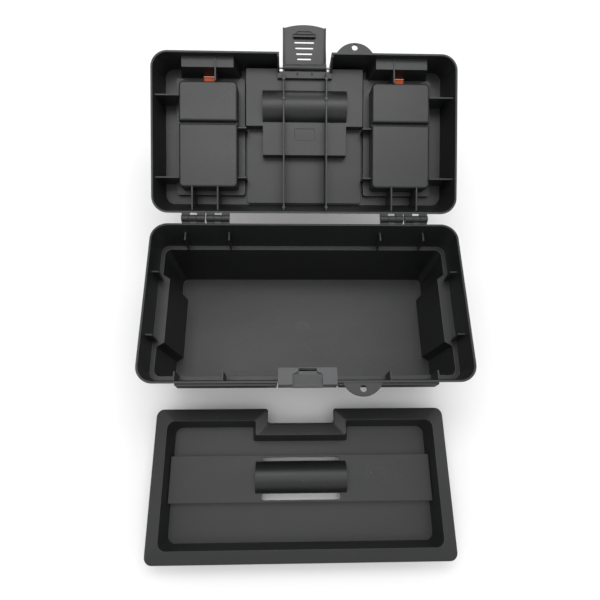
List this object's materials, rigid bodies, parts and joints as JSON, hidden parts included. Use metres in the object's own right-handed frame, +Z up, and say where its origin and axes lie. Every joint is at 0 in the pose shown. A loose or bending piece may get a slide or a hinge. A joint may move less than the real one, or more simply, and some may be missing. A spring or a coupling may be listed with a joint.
{
  "type": "toolbox with tray",
  "caption": "Plastic toolbox with hinged lid, front latch, folding lid handle, lidded parts bins with clips and a lift-out tray.",
  "frame": {"origin": "middle of the flat underside of the box", "axes": "+Z up, -Y towards the latch side, +Y towards the hinges, +X to the right seen from the latch side"},
  "size_m": [0.41, 0.6971, 0.2196],
  "materials": {
    "shell_plastic": "satin black moulded plastic",
    "fitting_plastic": "satin dark grey moulded plastic",
    "clip_orange": "satin orange moulded plastic",
    "pin_steel": "plain wire"
  },
  "bodies": {
    "base": {"base_shell": "shell_plastic", "latch_catch": "fitting_plastic", "hinge_pins": "pin_steel"},
    "lid": {"lid_shell": "shell_plastic", "latch_pin": "pin_steel"},
    "latch": {"latch_flap": "fitting_plastic"},
    "handle": {"handle": "fitting_plastic"},
    "cover_left": {"organiser_cover_left": "shell_plastic"},
    "cover_right": {"organiser_cover_right": "shell_plastic"},
    "clip_left": {"organiser_clip_left": "clip_orange"},
    "clip_right": {"organiser_clip_right": "clip_orange"},
    "tray": {"tray": "shell_plastic"}
  },
  "joints": [
    {"name": "lid_hinge", "type": "hinge", "parent": "base", "child": "lid", "pos_m": [0, 0.114, 0.1312], "axis": [1, 0, 0], "range_deg": [0, 158]},
    {"name": "latch_hinge", "type": "hinge", "parent": "lid", "child": "latch", "pos_m": [0, 0.32578, 0.18096], "axis": [1, 0, 0], "range_deg": [0, 82]},
    {"name": "handle_hinge", "type": "hinge", "parent": "lid", "child": "handle", "pos_m": [0, 0.23882, 0.14259], "axis": [1, 0, 0], "range_deg": [0, 90]},
    {"name": "cover_left_hinge", "type": "hinge", "parent": "lid", "child": "cover_left", "pos_m": [-0.1315, 0.17188, 0.1054], "axis": [-1, 0, 0], "range_deg": [0, 60]},
    {"name": "cover_right_hinge", "type": "hinge", "parent": "lid", "child": "cover_right", "pos_m": [0.1315, 0.17188, 0.1054], "axis": [-1, 0, 0], "range_deg": [0, 60]},
    {"name": "clip_left_hinge", "type": "hinge", "parent": "cover_left", "child": "clip_left", "pos_m": [-0.1315, 0.31558, 0.16551], "axis": [-1, 0, 0], "range_deg": [0, 22]},
    {"name": "clip_right_hinge", "type": "hinge", "parent": "cover_right", "child": "clip_right", "pos_m": [0.1315, 0.31558, 0.16551], "axis": [-1, 0, 0], "range_deg": [0, 22]},
    {"name": "tray_slide", "type": "slide", "parent": "base", "child": "tray", "axis": [0, -0.342, 0.9397], "range_m": [0, 0.28]}
  ]
}
